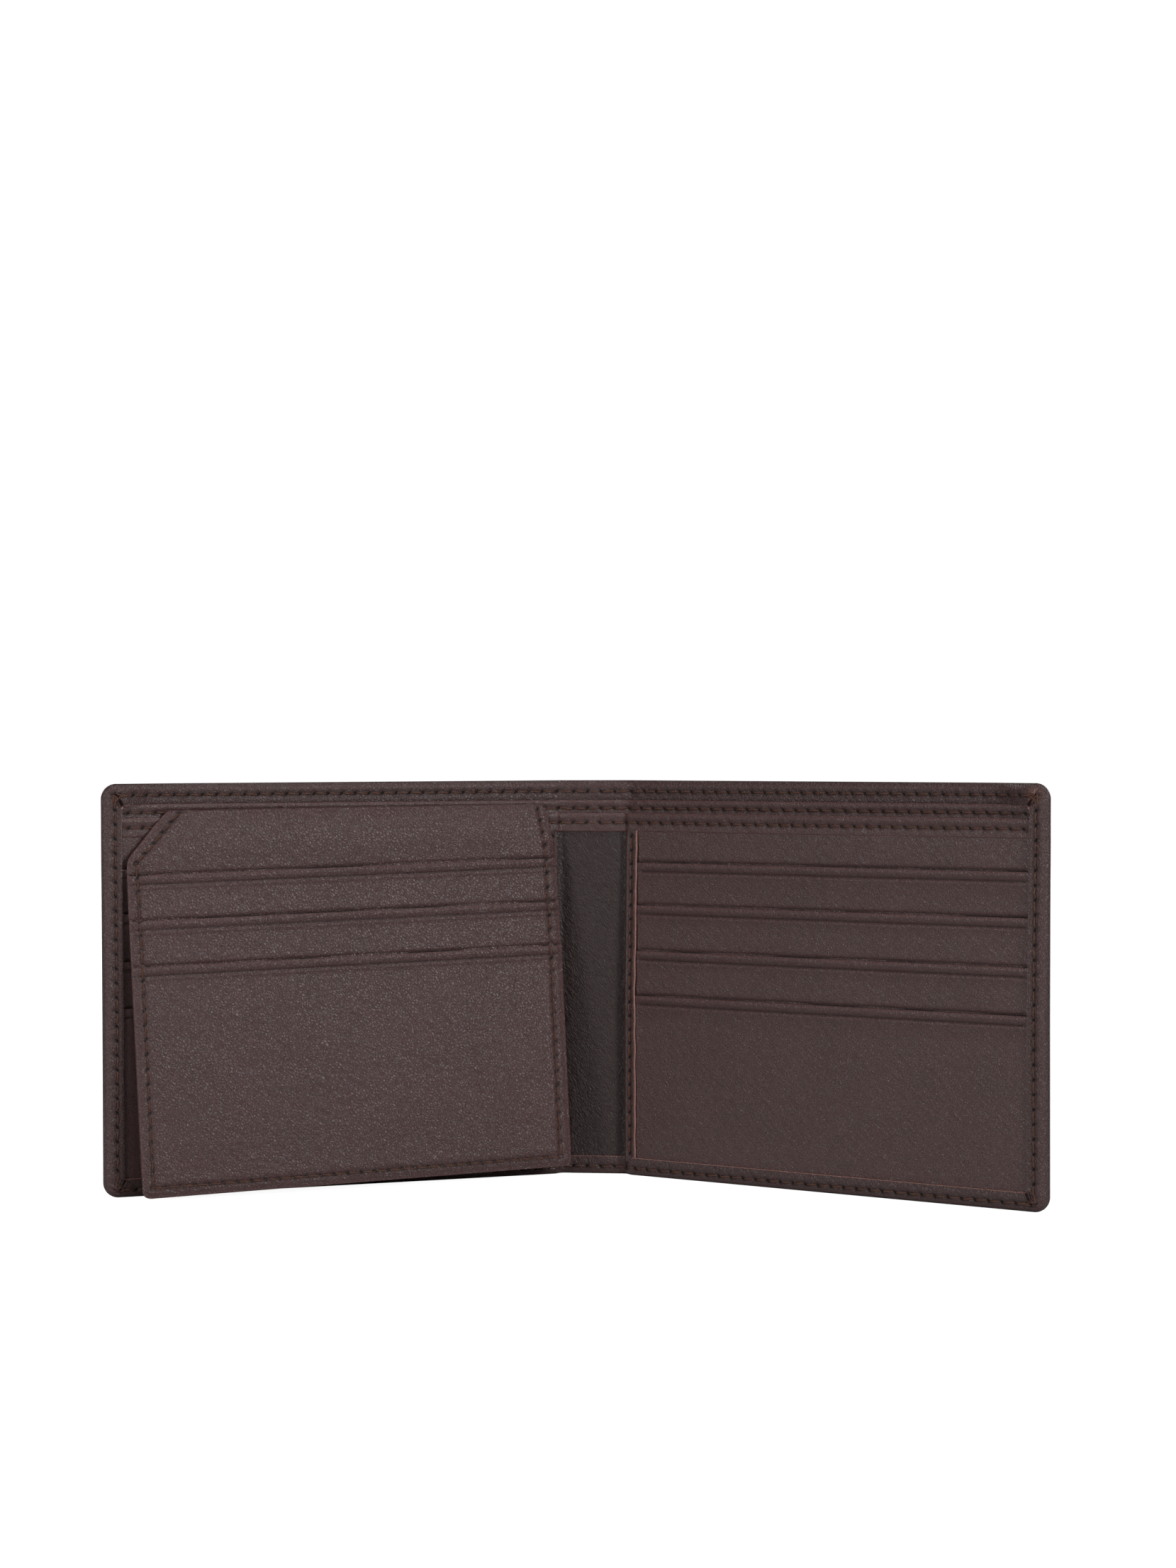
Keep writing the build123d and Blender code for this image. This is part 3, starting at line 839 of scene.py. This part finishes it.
# ---- Card section ----
MOUTH_CREASE = 2.0            # pressed line below a slot's folded mouth


def mouth(depth_below):
    """Relief of a slot's folded mouth, by distance below its edge."""
    roll = 0.22 * hump(depth_below - 0.8, 0.7)
    crease = -0.2 * hump(depth_below - MOUTH_CREASE, 0.24)
    shoulder = 0.16 * hump(depth_below - MOUTH_CREASE - 0.7, 0.5)
    return roll + crease + shoulder


def mouth_crease_shade(depth_below):
    """Painted shade in the pressed line below a mouth."""
    return 0.45 * hump(depth_below - MOUTH_CREASE, 0.2)


def behind_mouth(z, mouth_z):
    """Gap that a mouth leaves in the layer behind it."""
    return -0.32 * hump(z - mouth_z - 0.15, 0.45)


def gap_dark(z, mouth_z):
    """Shade in that gap."""
    return 0.95 * hump(z - mouth_z - 0.08, 0.2)


def card_layer(side, name, top, bottom, front, thickness, next_top, nodes, slot, seed):
    """One leather layer of the card section."""
    creases = [top - MOUTH_CREASE]
    if next_top is not None:
        creases.append(next_top + 0.1)
    us = lines(SLOT_START, LAYER_END - 0.5, 3.0, creases=(STRIP_END + 0.5, WIDTH - HEM_SIDE - 0.7))
    zs = lines(bottom, top, 3.0, edges=(top,), creases=creases)

    def relief(u, z):
        shape = mouth(top - z) if slot else 0 * z
        if next_top is not None:
            shape = shape + behind_mouth(z, next_top)
        ends = smooth((u - STRIP_END) / 1.2) * smooth((WIDTH - HEM_SIDE - 0.4 - u) / 1.2)
        swell = 0.05 * ripple(u, z * 1.6, 26.0, seed) * ends
        return shape * (0.35 + 0.65 * ends) + swell

    def dark(z):
        # Painted shade: in the crease below this layer's mouth, and in the gap above the next mouth.
        crease_shade = mouth_crease_shade(top - z) if slot else 0 * z
        return crease_shade if next_top is None else np.maximum(crease_shade, gap_dark(z, next_top))

    piece = half_sheet(side + "_" + name, side, us, zs, front, thickness, inner_leather,
                       relief=relief, dark=dark, soft=("high",), radius=0.2)
    seat(piece, side, nodes)


def card_section(side):
    """Backing and four card slots of one half."""
    card_layer(side, "card_back", CARD_TOP + 0.6, 1.0, -BACKING_T, BACKING_T, SLOT_TOPS[0],
               [side + "_card_backing", side + "_slot_linings"], False, 31)
    for number, node in enumerate(SLOT_NODES):
        next_top = SLOT_TOPS[number + 1] if number + 1 < len(SLOT_NODES) else None
        card_layer(side, node + "_leather", SLOT_TOPS[number], SLOT_BOTTOMS[number], SLOT_FRONTS[number],
                   SLOT_T, next_top, [side + "_" + node], True, 32 + number)


LEFT_STRIP_IN = 1.2            # the left strip, under the flap, is folded a little further from the fold
STRIP_RAISE = {"right": 0.4, "left": 0.2}    # how far the strips stand in front of the card layers


def strip_front(side, z):
    """Depth of the front of the strip beside the fold."""
    return cards_front(z) - STRIP_RAISE[side]


def strip(side):
    """Folded leather strip that binds the card section beside the fold."""
    holes = together(STRIP_SEAM, run(HEM_BOTTOM + 1.0, CARD_TOP - 1.0))
    start = STRIP_START - 0.4 + (LEFT_STRIP_IN if side == "left" else 0)
    us = lines(start, STRIP_END, 0.8, seams=(STRIP_SEAM,), edges=(start, STRIP_END))
    zs = lines(HEM_BOTTOM - 1.0, CARD_TOP + 0.4, 2.0, holes=holes[:, 1], edges=(CARD_TOP + 0.4,))
    u, z = np.meshgrid(us, zs)
    relief, pits = pucker(u, z, (holes,))
    wave = 0.10 * ripple(0 * z, z, 7.0, 41) * smooth((u - STRIP_SEAM) / (STRIP_END - STRIP_SEAM))
    start_gap, end_gap = u - us[0], us[-1] - u
    front = strip_front(side, z) - relief - 0.3 * STRIP_RAISE[side] * hump(start_gap - 0.9, 0.5)
    deep = -0.02 + (front + 0.35) * smooth((u - STRIP_START - 0.4) / 0.8)
    deep = np.maximum(deep, front + 0.2)
    core = (front + deep) / 2
    share = border_round(np.minimum(start_gap / 2.2, end_gap), 0.3)
    near = core + (front - core) * share
    far = core + (deep - core) * share
    marks = together(pits, hump(end_gap, 0.2), 0.9 * hump(start_gap, 0.6))
    flat = together(across(side, u), z, 7)
    piece = closed_sheet(side + "_strip", place(side, u + wave, near, z), place(side, u + wave, far, z),
                         flat, marks, hem_leather)
    seat(piece, side, [side + "_inner_strip"])
    sew(side, "strip_stitches", holes,
        lambda u, z, lift: place(side, u, strip_front(side, z) - lift, z), [side + "_strip_thread"], 42)


# ---- Flap ----

def hang(x, d, v, share=1.0):
    """Points of the flap: x along the hinge, d in front of it, v below it, into the row frame."""
    lean, swing = FLAP_LEAN * share * (0.3 + 0.7 * smooth(v / 8)), FLAP_SWING * share
    z = -v
    u = HINGE_U + (x * np.cos(lean) + z * np.sin(lean))
    down = -x * np.sin(lean) + z * np.cos(lean)
    w = HINGE_W - d * np.cos(swing) + down * np.sin(swing)
    height = HINGE_Z + d * np.sin(swing) + down * np.cos(swing)
    return opened("left", u, w, height, REST)


def corner_cut(v, radius):
    """How much a rounded lower corner takes off the flap's side."""
    over = np.clip(v - (FLAP_HEIGHT - radius), 0, radius)
    return radius - np.sqrt(radius ** 2 - over ** 2)


def flap_outer(v):
    """Outer end of the flap at each drop: chamfer, side and rounded corner."""
    over = FLAP_CHAMFER - v
    chamfer = (over + np.sqrt(over ** 2 + 1.2)) / 2
    return FLAP_WIDTH / 2 - chamfer - corner_cut(v, FLAP_CORNER)


def flap_side(v):
    """Where the flap's straight side beside the fold is at each drop."""
    share = np.clip(v / FLAP_HEIGHT, 0, 1)
    taper = FLAP_TAPER * np.clip(1 - v / FLAP_SHOULDER, 0, 1.2)
    return -FLAP_WIDTH / 2 - FLAP_REACH_TOP + (FLAP_REACH_TOP - FLAP_REACH_LOW) * share + taper


def flap_inner(v):
    """End of the flap beside the fold at each drop."""
    return flap_side(v) + corner_cut(v, FLAP_CORNER * 0.8)


def outer_distance(x, v):
    """Distance from the flap's outer end, square to the chamfer where there is one."""
    return (flap_outer(v) - x) / (1 + 0.414 * smooth((FLAP_CHAMFER + 1 - v) / 2))


def flap_columns(v, gaps):
    """x of each column on rows at drop v. gaps runs from 0 at the inner end to the flap's width."""
    v = v[:, None]
    gaps = gaps[None, :]
    zone = 6.0
    slope = 1 + (math.sqrt(2) - 1) * smooth((FLAP_CHAMFER + 1 - v) / 2)
    inner, outer = flap_inner(v), flap_outer(v)
    start, end = inner + zone, outer - zone * slope
    middle_share = (gaps - zone) / (FLAP_WIDTH - 2 * zone)
    x = start + (end - start) * middle_share
    x = np.where(gaps < zone, inner + gaps, x)
    return np.where(gaps > FLAP_WIDTH - zone, outer - (FLAP_WIDTH - gaps) * slope, x)


def flap_seam():
    """Holes of the flap's seam, as five straight runs of (x, v)."""
    side = FLAP_WIDTH / 2 - FLAP_SEAM
    low = FLAP_HEIGHT - FLAP_SEAM
    knee = FLAP_CHAMFER + FLAP_SEAM * (math.sqrt(2) - 1)
    start, shoulder, turn = (flap_side(v) + FLAP_SEAM for v in (0.6, FLAP_SHOULDER, low))
    corners = [(start, 0.6), (shoulder, FLAP_SHOULDER), (turn, low), (side, low), (side, knee),
               (side - knee - 0.2, -0.2)]
    runs = []
    for (x0, v0), (x1, v1) in zip(corners[:-1], corners[1:]):
        count = round(math.hypot(x1 - x0, v1 - v0) / PITCH)
        share = np.linspace(0, 1, count + 1)[:, None]
        runs.append(np.array([[x0, v0]]) * (1 - share) + np.array([[x1, v1]]) * share)
    return runs


def flap_grid(v, holes=()):
    """A grid of flap points with rows at these drops: (x, drops, gaps to the inner and outer ends)."""
    gaps = lines(0, FLAP_WIDTH, 3.2, holes=holes, seams=(FLAP_SEAM, FLAP_WIDTH - FLAP_SEAM),
                 edges=(0, FLAP_WIDTH))
    x = flap_columns(v, gaps)
    v = v[:, None] + 0 * x
    return x, v, x - flap_inner(v), outer_distance(x, v)


FLAP_SEAMS = flap_seam()
every_gap = np.linspace(0, FLAP_WIDTH, 2000)
low_row = flap_columns(np.array([FLAP_HEIGHT - FLAP_SEAM]), every_gap)[0]
COLUMN_HOLES = np.interp(FLAP_SEAMS[2][:, 0], low_row, every_gap)


def flap_level(v):
    """Front of the flap's layers at each drop."""
    steps = sum(smooth((v - edge) / 0.05 + 1) for edge in FLAP_MOUTHS)
    return FLAP_FACE + FLAP_LAYER * (1 + steps)


def pressed(x, v, d):
    """Depth of a flap layer, pressed together towards its sewn edges."""
    gap = np.minimum(np.minimum(x - flap_inner(v), flap_outer(v) - x), FLAP_HEIGHT - v)
    press = 1 - FLAP_PRESS * smooth(1 - gap / PRESS_REACH)
    return FLAP_BACK + (d - FLAP_BACK) * press + 0.3 * hump(v - 45, 30) * smooth(gap / 25)


def drops_of_holes(top, bottom):
    """Every drop between these two at which the flap's seam has a hole."""
    drops = [hole for seam in FLAP_SEAMS for hole in seam[:, 1] if top < hole < bottom]
    return sorted(set(np.round(drops, 3)))


def flap_sheet(name, top, bottom, near, far, material, seed, is_mouth=True, next_mouth=None, wide=0.0):
    """One layer of the flap between two drops. near and far are how far its front and back stand
    before the hinge line. Only a slot's layer shows its stitch holes, so the other grids leave them
    out."""
    reaches_foot = bottom > FLAP_HEIGHT - 1
    creases = [top + MOUTH_CREASE] + ([next_mouth] if next_mouth else [])
    vs = lines(top, bottom, 3.0, holes=drops_of_holes(top, bottom) if is_mouth else (),
               edges=(top, bottom), creases=creases)
    x, v, inner_gap, outer_gap = flap_grid(vs, COLUMN_HOLES if is_mouth and reaches_foot else ())
    distance = np.minimum(inner_gap, outer_gap)
    inside = smooth(distance / 3)
    distance = np.minimum(distance, v - top) if is_mouth else distance
    distance = np.minimum(distance, bottom - v) if reaches_foot else distance
    relief, pits = pucker(x, v, FLAP_SEAMS)
    if is_mouth:
        relief += mouth(v - top) * (0.4 + 0.6 * inside)
        # Painted shade in the crease below the mouth, and further down in the gap above the next mouth.
        pits = np.maximum(pits, mouth_crease_shade(v - top))
    if next_mouth:
        relief += behind_mouth(-v, -next_mouth)
        pits = np.maximum(pits, gap_dark(-v, -next_mouth))
    relief += 0.1 * ripple(x, v, 34.0, 52) * inside
    seam_gap = np.minimum(np.abs(inner_gap - FLAP_SEAM), np.abs(outer_gap - FLAP_SEAM))
    seam_gap = np.minimum(seam_gap, np.abs(FLAP_HEIGHT - v - FLAP_SEAM))
    hidden = (v > next_mouth + 0.5) if next_mouth else np.full(v.shape, not is_mouth)
    relief = np.where(hidden, -0.3 * smooth(1 - seam_gap / 2.6), relief)
    front, back = pressed(x, v, near), pressed(x, v, far)
    core, half = (front + back) / 2, (front - back) / 2
    share = border_round(distance, EDGE_SOFTNESS)
    x = x - wide * smooth(1 - inner_gap / 3)
    return closed_sheet(name, hang(x, core + half * share + relief, v), hang(x, core - half * share, v),
                        together(-x, -v, seed), together(pits, 0, 0.8 * hump(distance, 0.5)), material)


def seat_flap(piece, nodes):
    """Put a piece on the flap, for the CAD it replaces."""
    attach(piece, "flap")
    if nodes:
        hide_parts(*nodes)


def flap_layers():
    """Back, core and the three slots of the flap."""
    back = flap_sheet("flap_back_leather", 2.2, FLAP_HEIGHT, FLAP_FACE, FLAP_BACK, flap_leather, 51, False)
    seat_flap(back, ["flap_back"])
    names = ("flap_slot_1", "flap_slot_2", "flap_pocket")
    ends = [FLAP_MOUTHS[1] + FLAP_OVERLAP, FLAP_MOUTHS[2] + FLAP_OVERLAP, FLAP_HEIGHT]
    near = FLAP_FACE + FLAP_LAYER
    for number, (name, top, end) in enumerate(zip(names, FLAP_MOUTHS, ends)):
        far = near
        near = far + FLAP_LAYER
        following = FLAP_MOUTHS[number + 1] if number < 2 else None
        layer = flap_sheet(name + "_leather", top, end, near, far, flap_leather, 52 + number, True,
                           following, FLAP_STEPS[number])
        seat_flap(layer, [name])
        if following:
            core = flap_sheet(name + "_lining", end - 0.3, FLAP_HEIGHT - 0.2, near - 0.02, far - 0.02,
                              lining_cloth, 56 + number, False)
            seat_flap(core, ["flap_slot_linings"] if number == 0 else [])


def smooth_path(points):
    """A polyline with its corners cut again and again."""
    points = np.array(points, float)
    for _ in range(4):
        cut = np.empty((2 * len(points) - 2, 2))
        cut[0::2] = 0.75 * points[:-1] + 0.25 * points[1:]
        cut[1::2] = 0.25 * points[:-1] + 0.75 * points[1:]
        points = np.concatenate([points[:1], cut, points[-1:]])
    return points


def flap_skin():
    """The leather that comes out from behind the liner, rolls over the hinge and hangs as the face."""
    end = FLAP_MOUTHS[0] + FLAP_OVERLAP
    face = FLAP_FACE + FLAP_LAYER
    path = smooth_path([(-1.55, TAIL_LENGTH), (-1.55, 2.5), (-1.5, 0.4), (-0.9, -0.6), (0.0, -0.8),
                        (0.7, -0.3), (0.95, 0.9), (1.1, 2.8), (face, 6.5), (face, 10.0), (face, end)])
    arc = np.concatenate([[0], np.cumsum(np.hypot(*np.diff(path, axis=0).T))])
    over = arc[np.argmin(path[:, 1])]
    front = arc > over
    drops = lines(0.2, end, 1.5, holes=drops_of_holes(-math.inf, end), creases=(FLAP_MOUTHS[0],))
    arcs = np.concatenate([
        np.linspace(0, over - 3.5, 5)[:-1],
        np.linspace(over - 3.5, np.interp(0.1, path[front, 1], arc[front]), 17),
        np.interp(drops, path[front, 1], arc[front]),
    ])

    def along_path(where):
        return np.array([np.interp(where, arc, column) for column in path.T])

    d, v = along_path(arcs)
    step = 0.15
    ahead_d, ahead_v = along_path(arcs + step) - along_path(arcs - step)
    length = np.hypot(ahead_d, ahead_v)
    normal_d, normal_v = (ahead_v / length)[:, None], (-ahead_d / length)[:, None]
    x, _, inner_gap, outer_gap = flap_grid(np.where(arcs < over, v.min(), v))
    v = v[:, None] + 0 * x
    is_face = (arcs > over)[:, None]
    distance = np.minimum(inner_gap, outer_gap)
    relief, pits = pucker(np.where(is_face, x, BEYOND), v, FLAP_SEAMS)
    relief += behind_mouth(-v, -FLAP_MOUTHS[0]) * is_face
    pits = np.maximum(pits, gap_dark(-v, -FLAP_MOUTHS[0]) * is_face)
    relief += 0.1 * ripple(x, v, 34.0, 52) * smooth(distance / 3)
    relief += 0.4 * hump(v - 6.0, 4.5) * smooth(distance / 12) * is_face
    share = border_round(distance, EDGE_SOFTNESS)
    half = 0.22
    corner = 0.9 * smooth(1 - inner_gap / 2.2) ** 2
    squeeze = FLAP_PRESS * smooth(1 - distance / PRESS_REACH) * is_face
    core_d = d[:, None] - half * normal_d - squeeze
    core_v = v - half * normal_v + corner * smooth((1.5 - v) / 3) * smooth(v + 2.5)
    outer_d, outer_v = (core + (half * share + relief) * normal
                        for core, normal in ((core_d, normal_d), (core_v, normal_v)))
    inner_d, inner_v = core_d - half * share * normal_d, core_v - half * share * normal_v
    lean = smooth((arcs - over + 3.4) / 3.0)[:, None]
    marks = together(pits, 0, 0.8 * hump(distance, 0.5))
    piece = closed_sheet("flap_face_leather", hang(x, outer_d, outer_v, lean),
                         hang(x, inner_d, inner_v, lean), together(-x, -arcs[:, None], 60), marks,
                         flap_leather)
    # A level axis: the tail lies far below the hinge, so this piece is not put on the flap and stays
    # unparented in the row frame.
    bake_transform(piece)
    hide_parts("flap_tail", "flap_face")


def flap_threads():
    """The flap's seam: down both sides, along the bottom and up the chamfer."""
    def surface(x, v, lift):
        roll = 0.42 * np.exp(-np.maximum(v, 0) / 2.2)
        return hang(x, pressed(x, v, flap_level(v)) - roll + lift, v)

    for number, holes in enumerate(FLAP_SEAMS):
        rows = stitches("flap_stitches_" + str(number + 1), holes, surface, 70 + number, flip=-1)
        seat_flap(rows, ["flap_thread"] if number == 0 else [])


# ---- Stage ----

def softbox(name, spot, width, height, power):
    """A white rectangular lamp that faces the wallet's middle."""
    lamp = bpy.data.lights.new(name, "AREA")
    lamp.shape = "RECTANGLE"
    lamp.size, lamp.size_y = width, height
    lamp.energy = power
    thing = bpy.data.objects.new(name, lamp)
    thing.location = spot
    ahead = Vector((0.0, 0.0, 0.045)) - thing.location
    thing.rotation_euler = ahead.to_track_quat("-Z", "Y").to_euler()
    bpy.context.scene.collection.objects.link(thing)


def floor():
    """A wide pale floor."""
    mesh = bpy.data.meshes.new("floor")
    reach = 6.0
    mesh.from_pydata([(-reach, -reach, 0), (reach, -reach, 0), (reach, reach, 0), (-reach, reach, 0)],
                     [], [(0, 1, 2, 3)])
    material, tree, shader = new_material("floor_paper")
    seen = add_node(tree, "LightPath", "Is Camera Ray", {})
    connect(tree, shader, {
        "Base Color": (0.7, 0.7, 0.7, 1.0),
        "Roughness": 0.9,
        "Specular IOR Level": 0.1,
        "Emission Color": WHITE,
        "Emission Strength": calculate(tree, "MULTIPLY", seen, 0.94),
    })
    mesh.materials.append(material)
    piece = bpy.data.objects.new("floor", mesh)
    bpy.context.scene.collection.objects.link(piece)


def studio():
    """White surroundings and five soft lights: one above, two in front and two behind."""
    world = bpy.data.worlds.new("studio")
    world.use_nodes = True
    bpy.context.scene.world = world
    tree = world.node_tree
    seen = add_node(tree, "LightPath", "Is Camera Ray", {})
    strength = calculate(tree, "MULTIPLY_ADD", seen, 0.95, 0.1)
    connect(tree, tree.nodes["Background"], {"Color": WHITE, "Strength": strength})
    softbox("key", (0.85, -0.8, 0.45), 0.3, 0.35, 6.2)
    softbox("fill", (-0.75, -1.0, 0.35), 0.35, 0.4, 4.4)
    softbox("top", (0.15, -0.3, 1.2), 0.5, 0.4, 4.6)
    softbox("back_left", (-0.9, 1.1, 0.5), 0.6, 0.6, 6.0)
    softbox("back_right", (0.8, 1.2, 0.6), 0.6, 0.6, 7.0)
    bpy.context.scene.view_settings.view_transform = "Standard"


def camera():
    """A long lens to the right of the wallet's middle, a little above its upper edge."""
    data = bpy.data.cameras.new("camera")
    data.sensor_width = 36.0
    data.lens = 69.31
    thing = bpy.data.objects.new("camera", data)
    bpy.context.scene.collection.objects.link(thing)
    yaw, pitch, roll = math.radians(-6.912), math.radians(-0.890), math.radians(-0.152)
    ahead = Vector((math.sin(yaw) * math.cos(pitch), math.cos(yaw) * math.cos(pitch), math.sin(pitch)))
    level = Vector((math.cos(yaw), -math.sin(yaw), 0))
    above = level.cross(ahead)
    right = level * math.cos(roll) + above * math.sin(roll)
    up = above * math.cos(roll) - level * math.sin(roll)
    turn = Matrix((right, up, -ahead)).transposed()
    thing.matrix_world = Matrix.Translation((0.0837, -0.6739, 0.1021)) @ turn.to_4x4()
    bpy.context.scene.camera = thing


for side in SIDES:
    cover(side)
    cover_threads(side)
    lining(side)
    divider(side)
    liner(side)
    card_section(side)
    strip(side)
flap_layers()
flap_skin()
flap_threads()
floor()
studio()
camera()

bpy.context.view_layer.update()
